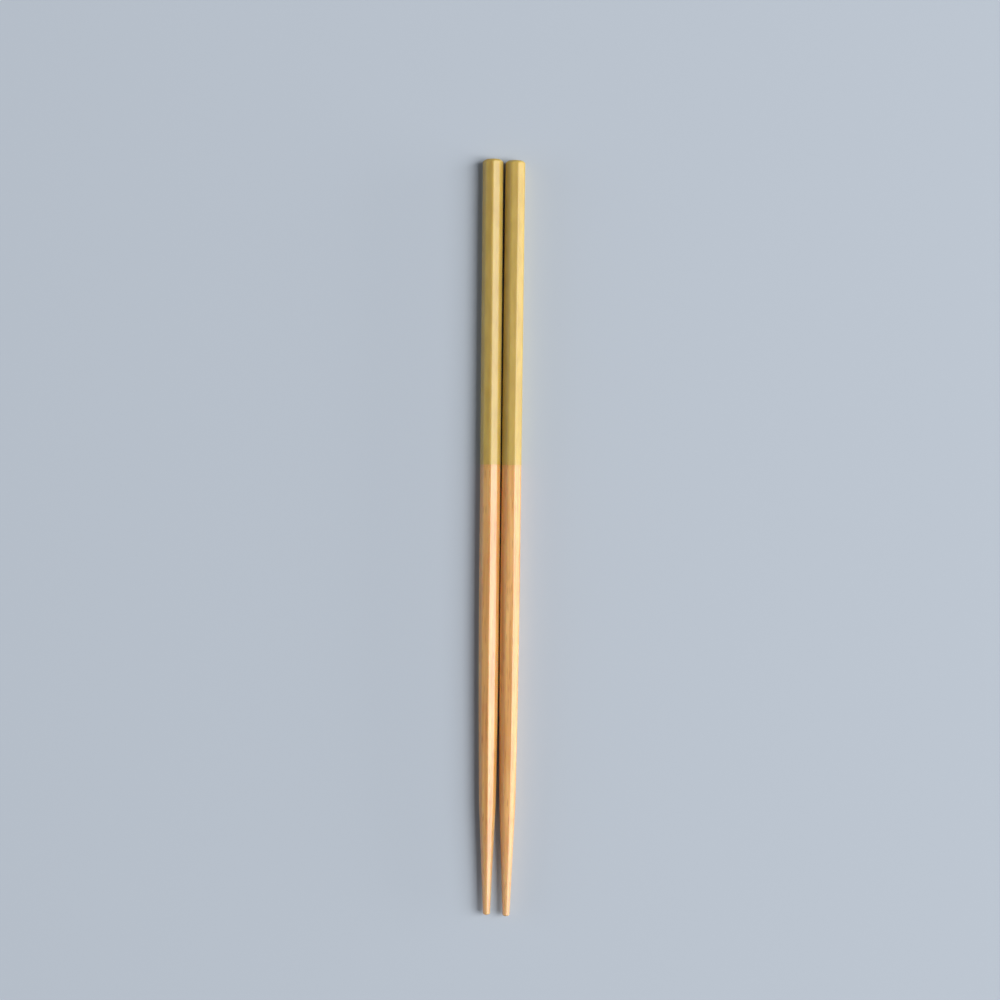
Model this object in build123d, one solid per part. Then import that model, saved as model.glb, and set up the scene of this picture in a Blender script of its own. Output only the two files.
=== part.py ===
from build123d import *
from math import cos, radians, sqrt
import os

# A pair of long bamboo cooking chopsticks, lying side by side as they come to rest.
# Frame of the pair: +Y runs from the tips to the handle ends, +X across the pair,
# +Z up. The origin is on the surface they lie on, under the middle of the pair.

# Sizes of one chopstick, in millimetres. Every width is across two opposite flats.
LENGTH = 300.0
HANDLE_WIDTH = 7.75
PARALLEL_LENGTH = 160.0
CONE_LENGTH = 44.0
SHOULDER_WIDTH = 6.3
SHOULDER_BLEND = 4.0
TIP_WIDTH = 2.75

# Rounding of the sanded edges and of the two ends
LONG_EDGE_RADIUS = 1.0
HANDLE_CROWN_RADIUS = 14.0
HANDLE_SHOULDER_RADIUS = 2.1
TIP_CROWN_RADIUS = 2.0
TIP_SHOULDER_RADIUS = 0.5

# Extra length of the blank past each end, which rounding the end takes away, and how
# far outside the long edges the round rod lies that an end is rounded to
END_OVERRUN = 1.0
END_CLEARANCE = 0.05

# How the pair lies: the clear space where the two come nearest, the angle at which
# they close towards the tips, and how far the right one sits ahead of the left
PAIR_GAP = 0.3
PAIR_ANGLE = 0.21
TIP_LEAD = 0.45

# The section is a regular octagon. Its corners lie this share further out than its flats.
FLATS = 8
TURN_PER_FLAT = 360 / FLATS
CORNER_SHARE = 1 / cos(radians(TURN_PER_FLAT / 2))

HALF_HANDLE = HANDLE_WIDTH / 2
HALF_SHOULDER = SHOULDER_WIDTH / 2
HALF_TIP = TIP_WIDTH / 2

# No rounding takes more than this share of the half width that it rounds
ROUNDING_SHARE = 0.9
LONG_EDGE = min(LONG_EDGE_RADIUS, HALF_TIP * ROUNDING_SHARE)
HANDLE_SHOULDER = min(HANDLE_SHOULDER_RADIUS, HALF_HANDLE * ROUNDING_SHARE)
TIP_SHOULDER = min(TIP_SHOULDER_RADIUS, HALF_TIP * ROUNDING_SHARE)


def corner_reach(half_width):
    """Distance from the axis to the outside of a sanded long edge."""
    return LONG_EDGE + (half_width - LONG_EDGE) * CORNER_SHARE


def side_line():
    """One side of the blank seen flat on, from past the handle end at y = 0 to past the tip."""
    handle_end = Vector(HALF_HANDLE, END_OVERRUN)
    parallel_end = Vector(HALF_HANDLE, -PARALLEL_LENGTH)
    shoulder = Vector(HALF_SHOULDER, CONE_LENGTH - LENGTH)
    tip = Vector(HALF_TIP, -LENGTH)
    cone_direction = (tip - shoulder).normalized()
    # The taper starts without a break: its control point is still at the full width
    taper_control = Vector(HALF_HANDLE, (parallel_end.Y + shoulder.Y) / 2)
    blend_start = shoulder + (taper_control - shoulder).normalized() * SHOULDER_BLEND
    blend_end = shoulder + cone_direction * SHOULDER_BLEND
    return Curve() + [
        Line(handle_end, parallel_end),
        Bezier(parallel_end, taper_control, blend_start),
        Bezier(blend_start, shoulder, blend_end),
        Line(blend_end, tip + cone_direction * END_OVERRUN),
    ]


def planed_slab():
    """What two opposite planed flats leave of the blank, as wide as the octagon's corners."""
    right_side = side_line()
    left_side = mirror(right_side, Plane.YZ)
    handle_line = Line(left_side @ 0, right_side @ 0)
    tip_line = Line(left_side @ 1, right_side @ 1)
    outline = make_face(Curve() + [right_side, left_side, handle_line, tip_line])
    return extrude(outline, amount=HALF_HANDLE * CORNER_SHARE, both=True)


def octagonal_blank():
    """The tapered octagon that four pairs of flats leave, with its long edges sanded round."""
    slab = planed_slab()
    blank = slab
    for turn in range(1, FLATS // 2):
        blank = blank & slab.rotate(Axis.Y, turn * TURN_PER_FLAT)
    long_edges = blank.edges().filter_by(lambda edge: edge.bounding_box().size.Y > SHOULDER_BLEND)
    return fillet(long_edges, LONG_EDGE)


def end_cutter(half_width, crown_radius, shoulder_radius):
    """What rounding takes off an end facing +Y at y = 0: all outside a crowned round rod."""
    rod_radius = corner_reach(half_width) + END_CLEARANCE
    crown_drop = crown_radius - sqrt(crown_radius**2 - rod_radius**2)
    depth = crown_drop + shoulder_radius
    crown = Pos(0, -crown_radius, 0) * Sphere(crown_radius)
    rod = Cylinder(rod_radius, depth * 2, rotation=(90, 0, 0)) & crown
    rim = rod.edges().sort_by(Axis.Y)[-1]
    rod = fillet(rim, shoulder_radius)
    width = rod_radius * 3
    block = Box(width, depth + END_OVERRUN * 2, width, align=(Align.CENTER, Align.MIN, Align.CENTER))
    return Pos(0, -depth, 0) * block - rod


def chopstick():
    """One chopstick on the Y axis, handle end at y = 0, one flat facing straight down."""
    handle_cutter = end_cutter(HALF_HANDLE, HANDLE_CROWN_RADIUS, HANDLE_SHOULDER)
    tip_cutter = end_cutter(HALF_TIP, TIP_CROWN_RADIUS, TIP_SHOULDER)
    tip_place = Pos(0, -LENGTH, 0) * Rot(0, 0, 180)
    return octagonal_blank() - handle_cutter - tip_place * tip_cutter


def placed_pair():
    """Both chopsticks on the surface, the left one on a long edge and the right one on a flat."""
    stick = chopstick()
    left_reach = corner_reach(HALF_HANDLE)
    spacing = left_reach + PAIR_GAP + HALF_HANDLE
    # Each turns by half the angle about the place where the two come nearest
    nearest = Axis((0, -PARALLEL_LENGTH, 0), (0, 0, 1))
    left = stick.rotate(Axis.Y, TURN_PER_FLAT / 2).rotate(nearest, PAIR_ANGLE / 2)
    right = stick.rotate(nearest, -PAIR_ANGLE / 2)
    left = Pos(-spacing / 2, TIP_LEAD / 2, left_reach) * left
    right = Pos(spacing / 2, -TIP_LEAD / 2, HALF_HANDLE) * right
    middle = left.bounding_box().add(right.bounding_box()).center()
    to_origin = Pos(-middle.X, -middle.Y, 0)
    return {"left_chopstick": to_origin * left, "right_chopstick": to_origin * right}


os.makedirs("parts", exist_ok=True)
for node_name, solid in placed_pair().items():
    export_step(solid, f"parts/{node_name}.step")
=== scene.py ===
import bpy
from math import asin, atan2, cos, pi, radians, sin, sqrt, tan
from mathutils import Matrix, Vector


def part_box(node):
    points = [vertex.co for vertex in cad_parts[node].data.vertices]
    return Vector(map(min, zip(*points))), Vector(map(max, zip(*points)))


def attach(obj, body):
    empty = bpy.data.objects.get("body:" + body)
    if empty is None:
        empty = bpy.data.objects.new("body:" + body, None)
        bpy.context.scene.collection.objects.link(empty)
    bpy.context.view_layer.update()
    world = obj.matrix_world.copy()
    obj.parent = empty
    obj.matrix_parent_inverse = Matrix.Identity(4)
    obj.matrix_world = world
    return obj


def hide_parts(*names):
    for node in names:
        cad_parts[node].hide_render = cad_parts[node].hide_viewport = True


# A pair of long bamboo cooking chopsticks with lacquered handles, lying side by side.
# Everything is in metres. +Y runs from the tips to the handle ends, +X across the pair,
# +Z up. The origin is on the surface they lie on, under the middle of the pair.

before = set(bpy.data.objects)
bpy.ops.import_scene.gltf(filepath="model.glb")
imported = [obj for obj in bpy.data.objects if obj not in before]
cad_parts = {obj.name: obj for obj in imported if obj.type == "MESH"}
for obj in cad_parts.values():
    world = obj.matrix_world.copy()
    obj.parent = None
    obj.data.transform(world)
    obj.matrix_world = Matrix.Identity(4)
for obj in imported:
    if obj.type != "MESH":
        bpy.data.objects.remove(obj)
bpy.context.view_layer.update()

MM = 0.001

# Sizes of one chopstick. Every width is across two opposite flats.
LENGTH = 300 * MM
HANDLE_WIDTH = 7.75 * MM
PARALLEL_LENGTH = 160 * MM
CONE_LENGTH = 44 * MM
SHOULDER_WIDTH = 6.3 * MM
SHOULDER_BLEND = 4 * MM
TIP_WIDTH = 2.75 * MM

# Rounding of the sanded edges: on the bare wood of full width, under the lacquer, and on
# the cone. Along the taper it grows from the first to the last.
LONG_EDGE_RADIUS = 0.6 * MM
LACQUERED_EDGE_RADIUS = 1.9 * MM
CONE_EDGE_RADIUS = 1.15 * MM

# Rounding of the two ends
HANDLE_CROWN_RADIUS = 14.0 * MM
HANDLE_SHOULDER_RADIUS = 2.1 * MM
TIP_CROWN_RADIUS = 2.0 * MM
TIP_SHOULDER_RADIUS = 0.5 * MM
END_CLEARANCE = 0.05 * MM

# The lacquer: how far it reaches down each handle and how thick it lies on the wood
LEFT_LACQUER_LENGTH = 121.35 * MM
RIGHT_LACQUER_LENGTH = 121.0 * MM
LACQUER_THICKNESS = 0.04 * MM

# Places along Y: the wood is darker in spots, most just below the coat and no more at the
# second place. The sharpened cone cuts across the fibres, and the wood is paler there, most
# at the tip and no more at the second place.
DARK_SPOTS_FROM = 28.7 * MM
DARK_SPOTS_TO = 26.6 * MM
CUT_FROM = -150 * MM
CUT_TO = -100 * MM

# The two lie at a slight angle, closing towards the tips
PAIR_ANGLE = radians(0.21)

FLATS = 8
TURN_PER_FLAT = 2 * pi / FLATS
CORNER_SHARE = 1 / cos(TURN_PER_FLAT / 2)

# How finely the curves are divided
TAPER_STEPS = 20
BLEND_STEPS = 5
CONE_STEPS = 4
LONG_EDGE_STEPS = 6
FLAT_CUTS = 2
END_STEPS = 12

# Two places nearer than this are the same, and a slope, or a share of a flat's turn, less
# than this is none
CLOSE = 0.001 * MM
NEARLY_NONE = 0.02

# The camera looks straight down. Where the photograph's middle lies on the surface, how
# wide a strip of it the picture shows, and how far the pair is turned in the picture
PICTURE_WIDTH = 396.7 * MM
PICTURE_MIDDLE = Vector((-0.14 * MM, 14.85 * MM, 0))
PICTURE_TURN = radians(0.622)
PAIR_MID_HEIGHT = 4 * MM
LENS = 100
SENSOR_WIDTH = 36

# The soft lamps stand this far from the pair, and a weak bluish light comes from all round
LAMP_DISTANCE = 6.0
SURROUND_TINT = (0.83, 0.98, 1.28, 1)
SURROUND_STRENGTH = 0.09

# Length of each side of the table top
FLOOR_SIZE = 8

# A noise pattern seldom leaves this range
NOISE_LOW = 0.3
NOISE_HIGH = 0.7

# How strongly the cut fibre bundles colour the wood, and how deep they lie in its grain
DASH_SHARE = 0.45
DASH_DEPTH = 0.6


def corner_reach(half_width):
    """Distance from the axis to the outside of a long edge of the bare wood."""
    return LONG_EDGE_RADIUS + (half_width - LONG_EDGE_RADIUS) * CORNER_SHARE


def bezier_points(start, control, end, steps):
    """Points after the start of a curve that bends once, towards its control point."""
    points = []
    for step in range(1, steps + 1):
        share = step / steps
        first_leg = start.lerp(control, share)
        second_leg = control.lerp(end, share)
        points.append(first_leg.lerp(second_leg, share))
    return points


def lacquer_lip(lacquer_length):
    """Half width and place of the rings round the rounded lower edge of the lacquer."""
    edge = -lacquer_length
    bare = HANDLE_WIDTH / 2 - LACQUER_THICKNESS
    rounding = 0.3 * LACQUER_THICKNESS
    return [
        Vector((HANDLE_WIDTH / 2, edge + LACQUER_THICKNESS)),
        Vector((HANDLE_WIDTH / 2 - rounding, edge + rounding)),
        Vector((bare, edge)),
    ]


def bare_side():
    """Half widths and places of the rings down the bare wood, from the lacquer to the tip."""
    bare = HANDLE_WIDTH / 2 - LACQUER_THICKNESS
    parallel_end = Vector((bare, -PARALLEL_LENGTH))
    shoulder = Vector((SHOULDER_WIDTH / 2, CONE_LENGTH - LENGTH))
    tip = Vector((TIP_WIDTH / 2, TIP_END.depth_at(TIP_WIDTH / 2) - LENGTH))
    # The taper starts without a break: its control point is still at the full width
    taper_control = Vector((bare, (parallel_end.y + shoulder.y) / 2))
    blend_start = shoulder + (taper_control - shoulder).normalized() * SHOULDER_BLEND
    blend_end = shoulder + (tip - shoulder).normalized() * SHOULDER_BLEND
    cone = [blend_end.lerp(tip, step / CONE_STEPS) for step in range(1, CONE_STEPS + 1)]
    return (
        [parallel_end]
        + bezier_points(parallel_end, taper_control, blend_start, TAPER_STEPS)
        + bezier_points(blend_start, shoulder, blend_end, BLEND_STEPS)
        + cone
    )


def deselect_everything():
    bpy.ops.object.select_all(action="DESELECT")


def select_edges(stick, wanted):
    """Leaves edit mode with only the edges selected for which wanted(first, second) holds."""
    bpy.ops.mesh.select_all(action="DESELECT")
    bpy.ops.mesh.select_mode(type="EDGE")
    bpy.ops.object.mode_set(mode="OBJECT")
    mesh = stick.data
    for edge in mesh.edges:
        first, second = (mesh.vertices[index].co for index in edge.vertices)
        edge.select = wanted(first, second)
    bpy.ops.object.mode_set(mode="EDIT")


def draw_out(ring_from, ring_to):
    """Extrudes the selected ring along the stick and scales it to its new half width."""
    bpy.ops.mesh.extrude_region_move(
        TRANSFORM_OT_translate={"value": (0, ring_to.y - ring_from.y, 0)}
    )
    scale = ring_to.x / ring_from.x
    bpy.ops.transform.resize(value=(scale, 1, scale), center_override=(0, ring_to.y, 0))


def around(point):
    """Angle round the stick's axis, from straight up, as a number of flats."""
    return atan2(point.x, point.z) / TURN_PER_FLAT


def on_a_corner(point):
    share = around(point) % 1
    return abs(share - 0.5) < NEARLY_NONE


def planed_sides(name, lacquer_length):
    """The eight flats of a stick as an open tube, its long edges still sharp."""
    deselect_everything()
    top_ring = Vector((HANDLE_WIDTH / 2, -HANDLE_END.depth_at(HANDLE_WIDTH / 2)))
    bpy.ops.mesh.primitive_circle_add(
        vertices=FLATS,
        radius=top_ring.x * CORNER_SHARE,
        location=(0, top_ring.y, 0),
        rotation=(pi / 2, TURN_PER_FLAT / 2, 0),
    )
    stick = bpy.context.object
    stick.name = name
    stick.data.name = name
    bpy.ops.object.transform_apply(location=True, rotation=True, scale=True)
    bpy.ops.object.mode_set(mode="EDIT")
    bpy.ops.mesh.select_all(action="SELECT")
    bpy.ops.mesh.subdivide(number_cuts=1)
    ring = top_ring
    for next_ring in lacquer_lip(lacquer_length) + bare_side():
        draw_out(ring, next_ring)
        ring = next_ring
    return stick


def edge_radius(first, second, lacquer_length):
    """How round the piece of a long edge between these two points is sanded."""
    if min(first.y, second.y) > -lacquer_length - CLOSE:
        return LACQUERED_EDGE_RADIUS
    past_parallel = -(first.y + second.y) / 2 - PARALLEL_LENGTH
    share = past_parallel / (LENGTH - CONE_LENGTH - PARALLEL_LENGTH)
    share = min(max(share, 0), 1)
    return LONG_EDGE_RADIUS + share * (CONE_EDGE_RADIUS - LONG_EDGE_RADIUS)


def sand_long_edges(stick, lacquer_length):
    """Rounds the eight edges that run the whole length of the stick."""
    bpy.ops.object.mode_set(mode="OBJECT")
    mesh = stick.data
    rounding = mesh.attributes.new("bevel_weight_edge", "FLOAT", "EDGE")
    for edge in mesh.edges:
        first, second = (mesh.vertices[index].co for index in edge.vertices)
        if on_a_corner(first) and on_a_corner(second) and first.y != second.y:
            radius = edge_radius(first, second, lacquer_length)
            rounding.data[edge.index].value = radius / LACQUERED_EDGE_RADIUS
    sanding = stick.modifiers.new("sanded_edges", "BEVEL")
    sanding.limit_method = "WEIGHT"
    sanding.width = LACQUERED_EDGE_RADIUS * tan(TURN_PER_FLAT / 2)
    sanding.segments = LONG_EDGE_STEPS
    bpy.ops.object.modifier_apply(modifier=sanding.name)
    mesh.attributes.remove(mesh.attributes["bevel_weight_edge"])
    bpy.ops.object.mode_set(mode="EDIT")


def divide_flats(stick):
    """Adds lines along the flats, so that the round of an end can cross them in a curve."""

    def crosses_a_flat(first, second):
        along = (second - first).normalized()
        flat_turn = round(around((first + second) / 2)) * TURN_PER_FLAT
        flat_normal = Vector((sin(flat_turn), 0, cos(flat_turn)))
        return abs(along.y) < NEARLY_NONE and abs(along.dot(flat_normal)) < NEARLY_NONE

    select_edges(stick, crosses_a_flat)
    bpy.ops.mesh.subdivide(number_cuts=FLAT_CUTS)


class End:
    """The round of one end: a wide ball for the crown, and a shoulder that turns down its rim."""

    def __init__(self, half_width, crown_radius, shoulder_radius):
        self.half_width = half_width
        self.crown_radius = crown_radius
        self.shoulder_radius = shoulder_radius
        self.shoulder_middle = corner_reach(half_width) + END_CLEARANCE - shoulder_radius
        self.crown_slope = asin(self.shoulder_middle / (crown_radius - shoulder_radius))

    def radius_at(self, slope):
        """Distance from the axis at which the round slopes down this steeply."""
        if slope < self.crown_slope:
            return self.crown_radius * sin(slope)
        return self.shoulder_middle + self.shoulder_radius * sin(slope)

    def depth_at(self, radius):
        """How far the round lies below its top at this distance from the axis."""
        if radius < self.radius_at(self.crown_slope):
            return self.crown_radius - sqrt(self.crown_radius**2 - radius**2)
        shoulder_depth = (
            self.crown_radius - (self.crown_radius - self.shoulder_radius) * cos(self.crown_slope)
        )
        rise = sqrt(self.shoulder_radius**2 - (radius - self.shoulder_middle) ** 2)
        return shoulder_depth - rise

    def rings(self):
        """Half widths of the rings on the round, from its rim inwards, at even steps of slope."""
        rim_slope = asin((self.half_width - self.shoulder_middle) / self.shoulder_radius)
        slopes = [rim_slope * (1 - step / END_STEPS) for step in range(1, END_STEPS)]
        return [self.radius_at(slope) for slope in slopes]


HANDLE_END = End(HANDLE_WIDTH / 2, HANDLE_CROWN_RADIUS, HANDLE_SHOULDER_RADIUS)
TIP_END = End(TIP_WIDTH / 2, TIP_CROWN_RADIUS, TIP_SHOULDER_RADIUS)


def round_end(stick, end, top, outward):
    """Closes the open end of a stick and rounds it. outward is +1 or -1 along Y."""
    ring_y = top - outward * end.depth_at(end.half_width)

    def in_the_ring(first, second):
        return abs(first.y - ring_y) < CLOSE and abs(second.y - ring_y) < CLOSE

    select_edges(stick, in_the_ring)
    half_width = end.half_width
    for next_half_width in end.rings():
        bpy.ops.mesh.extrude_region_move(TRANSFORM_OT_translate={"value": (0, 0, 0)})
        scale = next_half_width / half_width
        bpy.ops.transform.resize(value=(scale, 1, scale), center_override=(0, ring_y, 0))
        half_width = next_half_width
    bpy.ops.mesh.extrude_region_move(TRANSFORM_OT_translate={"value": (0, 0, 0)})
    bpy.ops.mesh.merge(type="CENTER")

    # The flat cap is pressed onto the round, and its rim slides along the flats
    bpy.ops.object.mode_set(mode="OBJECT")
    for vertex in stick.data.vertices:
        if abs(vertex.co.y - ring_y) < CLOSE:
            radius = sqrt(vertex.co.x**2 + vertex.co.z**2)
            vertex.co.y = top - outward * end.depth_at(radius)
    bpy.ops.object.mode_set(mode="EDIT")


def chopstick(name, turned, angle, lacquer_length):
    """One finished chopstick along Y, turned about its axis and laid at its small angle."""
    stick = planed_sides(name, lacquer_length)
    sand_long_edges(stick, lacquer_length)
    divide_flats(stick)
    round_end(stick, HANDLE_END, top=0, outward=1)
    round_end(stick, TIP_END, top=-LENGTH, outward=-1)
    bpy.ops.mesh.select_all(action="SELECT")
    bpy.ops.mesh.normals_make_consistent(inside=False)
    bpy.ops.object.mode_set(mode="OBJECT")
    stick.rotation_euler = (0, turned, angle)
    bpy.ops.object.transform_apply(location=True, rotation=True, scale=True)
    return stick


def lay_on_cad(stick, node):
    """Moves a stick's mesh to the CAD node: its handle end, its middle and its lowest line."""
    low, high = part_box(node)
    corners = [vertex.co for vertex in stick.data.vertices]
    own_low = Vector([min(corner[axis] for corner in corners) for axis in range(3)])
    own_high = Vector([max(corner[axis] for corner in corners) for axis in range(3)])
    shift_x = (low.x + high.x - own_low.x - own_high.x) / 2
    stick.location = (shift_x, high.y - own_high.y, low.z - own_low.z)
    deselect_everything()
    stick.select_set(True)
    bpy.context.view_layer.objects.active = stick
    bpy.ops.object.transform_apply(location=True, rotation=True, scale=True)


def even_shading(stick):
    """Shades the flats flat and the sanded edges round."""
    bpy.ops.object.shade_smooth()
    weighting = stick.modifiers.new("even_shading", "WEIGHTED_NORMAL")
    weighting.weight = 100
    bpy.ops.object.modifier_apply(modifier=weighting.name)


class Nodes:
    """Builds one material's node tree in short calls."""

    def __init__(self, name):
        self.material = bpy.data.materials.new(name)
        self.material.use_nodes = True
        self.tree = self.material.node_tree
        self.shader = self.tree.nodes["Principled BSDF"]
        self.place = self.add("ShaderNodeTexCoord").outputs["Object"]

    def add(self, kind, **settings):
        node = self.tree.nodes.new(kind)
        for setting, value in settings.items():
            setattr(node, setting, value)
        return node

    def plug(self, source, socket):
        """Links an output to a socket, or sets the socket to a plain value."""
        if isinstance(source, bpy.types.NodeSocket):
            self.tree.links.new(source, socket)
        else:
            socket.default_value = source

    def stretched(self, across, along, shift=(0, 0, 0)):
        """The place on the object in a pattern's units: its size across and along the grain."""
        mapping = self.add("ShaderNodeMapping")
        self.plug(self.place, mapping.inputs["Vector"])
        self.plug((1 / across, 1 / along, 1 / across), mapping.inputs["Scale"])
        self.plug(shift, mapping.inputs["Location"])
        return mapping.outputs["Vector"]

    def noise(self, vector, detail=2.0, roughness=0.5):
        node = self.add("ShaderNodeTexNoise")
        self.plug(vector, node.inputs["Vector"])
        self.plug(1.0, node.inputs["Scale"])
        self.plug(detail, node.inputs["Detail"])
        self.plug(roughness, node.inputs["Roughness"])
        return node.outputs["Fac"]

    def cells(self, vector):
        node = self.add("ShaderNodeTexVoronoi")
        self.plug(vector, node.inputs["Vector"])
        self.plug(1.0, node.inputs["Scale"])
        return node.outputs["Distance"], node.outputs["Color"]

    def ranged(self, value, low, high, to_low=0.0, to_high=1.0):
        """Leads low to high over into to_low to to_high smoothly, and holds the ends."""
        node = self.add("ShaderNodeMapRange", interpolation_type="SMOOTHSTEP")
        self.plug(value, node.inputs["Value"])
        self.plug(low, node.inputs["From Min"])
        self.plug(high, node.inputs["From Max"])
        self.plug(to_low, node.inputs["To Min"])
        self.plug(to_high, node.inputs["To Max"])
        return node.outputs["Result"]

    def math(self, operation, first, second):
        node = self.add("ShaderNodeMath", operation=operation)
        self.plug(first, node.inputs[0])
        self.plug(second, node.inputs[1])
        return node.outputs[0]

    def named(self, sockets, name, kind):
        """The one socket of a Mix node that has this name and kind."""
        return next(socket for socket in sockets if socket.name == name and socket.type == kind)

    def mixed(self, share, first, second):
        """Mixes two colours by a share."""
        node = self.add("ShaderNodeMix", data_type="RGBA")
        self.plug(share, node.inputs["Factor"])
        self.plug(first, self.named(node.inputs, "A", "RGBA"))
        self.plug(second, self.named(node.inputs, "B", "RGBA"))
        return self.named(node.outputs, "Result", "RGBA")

    def bump(self, height, distance, under=None):
        node = self.add("ShaderNodeBump")
        self.plug(distance, node.inputs["Distance"])
        self.plug(height, node.inputs["Height"])
        if under is not None:
            self.plug(under, node.inputs["Normal"])
        return node.outputs["Normal"]


def srgb(red, green, blue):
    """A colour given as it looks on a screen, 0 to 255, as the shader's linear colour."""
    linear = []
    for level in (red, green, blue):
        share = level / 255
        linear.append(share / 12.92 if share <= 0.04045 else ((share + 0.055) / 1.055) ** 2.4)
    return (*linear, 1.0)


def bamboo():
    """Sanded bamboo: straight fibres, reddish and pale streaks, short dashes where fibre
    bundles are cut, paler wood at the cone and darker spots just below the coat."""
    nodes = Nodes("bamboo")
    fine = nodes.stretched(across=0.4 * MM, along=22 * MM)
    fibres = nodes.noise(fine, detail=3, roughness=0.6)
    coarse = nodes.stretched(across=0.9 * MM, along=32 * MM, shift=(3, 7, 1))
    red_streaks = nodes.noise(coarse, detail=2)
    coarser = nodes.stretched(across=1.2 * MM, along=48 * MM, shift=(6, 1, 4))
    pale_streaks = nodes.noise(coarser, detail=1)
    broad = nodes.stretched(across=7 * MM, along=26 * MM, shift=(5, 2, 8))
    patches = nodes.noise(broad, detail=1)
    bundle_distance, bundle_tint = nodes.cells(nodes.stretched(across=0.5 * MM, along=6.5 * MM))
    in_bundle = nodes.ranged(bundle_distance, 0.16, 0.40, to_low=1, to_high=0)
    chosen = nodes.ranged(bundle_tint, 0.45, 0.70)
    dashes = nodes.math("MULTIPLY", in_bundle, chosen)
    split_place = nodes.add("ShaderNodeSeparateXYZ")
    nodes.plug(nodes.place, split_place.inputs["Vector"])
    along_stick = split_place.outputs["Y"]
    # Darker spots in the wood, strongest just below the lacquer's lip
    near_lip = nodes.ranged(along_stick, DARK_SPOTS_TO, DARK_SPOTS_FROM)
    spots = nodes.noise(nodes.stretched(across=0.5 * MM, along=0.9 * MM), detail=1)
    in_spot = nodes.ranged(spots, 0.35, 0.6, to_low=0.04, to_high=0.2)
    dark_spots = nodes.math("MULTIPLY", near_lip, in_spot)
    towards_tip = nodes.ranged(along_stick, CUT_FROM, CUT_TO, to_low=0.45, to_high=0)

    light_fibre = srgb(231, 181, 109)
    dark_fibre = srgb(217, 161, 94)
    reddish = srgb(202, 132, 69)
    pale = srgb(235, 191, 123)
    warm_patch = srgb(208, 143, 71)
    dash_colour = srgb(156, 88, 42)
    # The colour of the darker spots just below the lacquer's lip
    dark_spot_colour = srgb(150, 98, 44)
    cut_point = srgb(217, 182, 138)
    grain = nodes.mixed(nodes.ranged(fibres, NOISE_LOW, NOISE_HIGH), dark_fibre, light_fibre)
    redness = nodes.ranged(red_streaks, 0.45, 0.65, to_high=0.5)
    reddened = nodes.mixed(redness, grain, reddish)
    paleness = nodes.ranged(pale_streaks, 0.48, 0.65, to_high=0.55)
    paled = nodes.mixed(paleness, reddened, pale)
    warmth = nodes.ranged(patches, 0.5, 0.75, to_high=0.3)
    warmed = nodes.mixed(warmth, paled, warm_patch)
    cut = nodes.mixed(towards_tip, warmed, cut_point)
    dashed = nodes.mixed(nodes.math("MULTIPLY", dashes, DASH_SHARE), cut, dash_colour)
    nodes.plug(nodes.mixed(dark_spots, dashed, dark_spot_colour), nodes.shader.inputs["Base Color"])
    gloss = nodes.ranged(fibres, NOISE_LOW, NOISE_HIGH, to_low=0.36, to_high=0.30)
    nodes.plug(gloss, nodes.shader.inputs["Roughness"])
    hollows = nodes.math("SUBTRACT", fibres, nodes.math("MULTIPLY", dashes, DASH_DEPTH))
    nodes.plug(nodes.bump(hollows, 0.012 * MM), nodes.shader.inputs["Normal"])
    nodes.plug(0.7, nodes.shader.inputs["Specular IOR Level"])
    nodes.plug(0.75, nodes.shader.inputs["Subsurface Weight"])
    nodes.plug((1.0, 0.45, 0.15), nodes.shader.inputs["Subsurface Radius"])
    nodes.plug(2.5 * MM, nodes.shader.inputs["Subsurface Scale"])
    return nodes.material


def ochre_lacquer():
    """Opaque ochre yellow lacquer, half glossy, with the faint waves of a dipped coat."""
    nodes = Nodes("ochre_lacquer")
    waves = nodes.noise(nodes.stretched(across=2.2 * MM, along=9 * MM), detail=1)
    speckle = nodes.noise(nodes.stretched(across=0.35 * MM, along=0.5 * MM), detail=2)
    thin = srgb(202, 173, 89)
    thick = srgb(193, 163, 81)
    tone = nodes.mixed(nodes.ranged(waves, NOISE_LOW, NOISE_HIGH), thin, thick)
    nodes.plug(tone, nodes.shader.inputs["Base Color"])
    gloss = nodes.ranged(speckle, NOISE_LOW, NOISE_HIGH, to_low=0.36, to_high=0.44)
    nodes.plug(gloss, nodes.shader.inputs["Roughness"])
    coat = nodes.bump(waves, 0.02 * MM)
    nodes.plug(nodes.bump(speckle, 0.002 * MM, under=coat), nodes.shader.inputs["Normal"])
    nodes.plug(0.55, nodes.shader.inputs["Specular IOR Level"])
    nodes.plug(0.7, nodes.shader.inputs["Subsurface Weight"])
    nodes.plug((1.0, 0.7, 0.2), nodes.shader.inputs["Subsurface Radius"])
    nodes.plug(3 * MM, nodes.shader.inputs["Subsurface Scale"])
    return nodes.material


def paint(stick, wood, lacquer, lacquer_length):
    """Gives the faces of the handle the lacquer, down to its lip, and the rest the bare wood."""
    stick.data.materials.clear()
    stick.data.materials.append(wood)
    stick.data.materials.append(lacquer)
    handle_end = max(vertex.co.y for vertex in stick.data.vertices)
    for face in stick.data.polygons:
        lacquered = face.center.y > handle_end - lacquer_length
        face.material_index = 1 if lacquered else 0


def pale_floor():
    """The plain pale table top that the pair lies on."""
    nodes = Nodes("pale_table_top")
    nodes.plug(srgb(187, 195, 204), nodes.shader.inputs["Base Color"])
    nodes.plug(0.9, nodes.shader.inputs["Roughness"])
    deselect_everything()
    bpy.ops.mesh.primitive_plane_add(size=FLOOR_SIZE)
    floor = bpy.context.object
    floor.name = "table_top"
    floor.data.materials.append(nodes.material)


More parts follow.
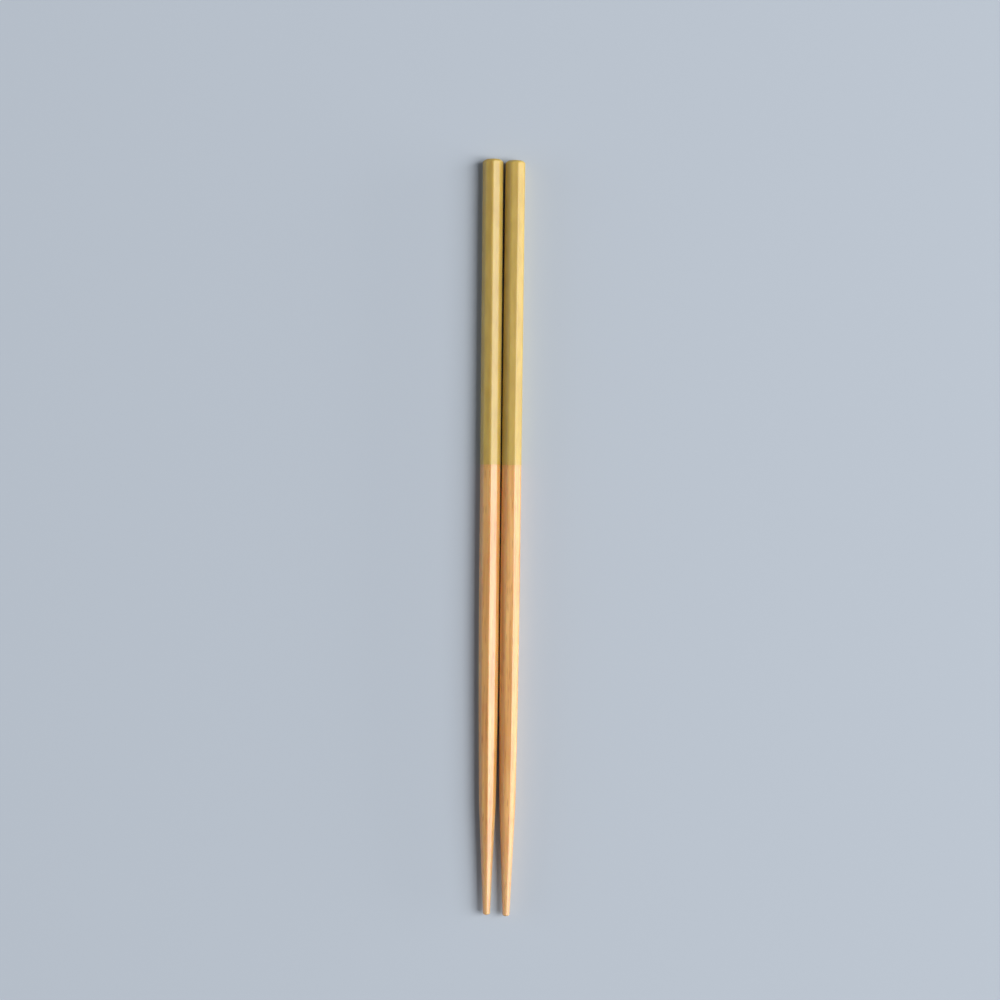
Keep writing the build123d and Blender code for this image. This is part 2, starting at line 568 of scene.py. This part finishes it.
def soft_lamp(name, elevation, height, width, floor_light):
    """A rectangular soft lamp beside the pair: its angle above the table, seen from the right,
    and the angle that it spans up and down, both in degrees, its width along the pair, and
    the light that it throws on the table, where 1 shows a colour as it is written."""
    rise = radians(elevation)
    direction = Vector((cos(rise), 0, sin(rise)))
    deselect_everything()
    bpy.ops.object.light_add(type="AREA", location=direction * LAMP_DISTANCE)
    lamp = bpy.context.object
    lamp.name = name
    lamp.rotation_euler = direction.to_track_quat("Z", "Y").to_euler()
    lamp.data.shape = "RECTANGLE"
    lamp.data.size = width
    lamp.data.size_y = 2 * LAMP_DISTANCE * tan(radians(height) / 2)
    lamp.data.energy = floor_light * (pi * LAMP_DISTANCE) ** 2 / sin(rise)


def studio_light():
    """Soft lamps at several heights on the right, a low one on the left, a bluish surround."""
    soft_lamp("main_lamp", elevation=56, height=28, width=3.6, floor_light=0.70)
    soft_lamp("middle_lamp", elevation=33, height=20, width=4.0, floor_light=0.19)
    soft_lamp("low_lamp", elevation=5, height=10, width=4.4, floor_light=0.037)
    soft_lamp("left_lamp", elevation=165, height=20, width=4.4, floor_light=0.05)

    world = bpy.data.worlds.new("surround")
    bpy.context.scene.world = world
    world.use_nodes = True
    tree = world.node_tree
    fill = tree.nodes["Background"]
    fill.inputs["Color"].default_value = SURROUND_TINT
    fill.inputs["Strength"].default_value = SURROUND_STRENGTH
    backdrop = tree.nodes.new("ShaderNodeBackground")
    backdrop.inputs["Color"].default_value = srgb(197, 202, 207)
    path = tree.nodes.new("ShaderNodeLightPath")
    mix = tree.nodes.new("ShaderNodeMixShader")
    tree.links.new(path.outputs["Is Camera Ray"], mix.inputs["Fac"])
    tree.links.new(fill.outputs["Background"], mix.inputs[1])
    tree.links.new(backdrop.outputs["Background"], mix.inputs[2])
    tree.links.new(mix.outputs["Shader"], tree.nodes["World Output"].inputs["Surface"])


def overhead_camera():
    """Looks straight down on the pair, as the photograph does."""
    height = PICTURE_WIDTH * LENS / SENSOR_WIDTH + PAIR_MID_HEIGHT
    deselect_everything()
    bpy.ops.object.camera_add(
        location=(PICTURE_MIDDLE.x, PICTURE_MIDDLE.y, height),
        rotation=(0, 0, PICTURE_TURN),
    )
    camera = bpy.context.object
    camera.name = "overhead_camera"
    camera.data.lens = LENS
    camera.data.sensor_width = SENSOR_WIDTH
    bpy.context.scene.camera = camera


overhead_camera()
studio_light()
pale_floor()

wood = bamboo()
lacquer = ochre_lacquer()
for name, node, turned, angle, lacquer_length in (
    ("left_stick", "left_chopstick", TURN_PER_FLAT / 2, PAIR_ANGLE / 2, LEFT_LACQUER_LENGTH),
    ("right_stick", "right_chopstick", 0, -PAIR_ANGLE / 2, RIGHT_LACQUER_LENGTH),
):
    stick = chopstick(name, turned, angle, lacquer_length)
    lay_on_cad(stick, node)
    paint(stick, wood, lacquer, lacquer_length)
    even_shading(stick)
    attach(stick, "root")
    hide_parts(node)

bpy.context.scene.view_settings.view_transform = "Standard"
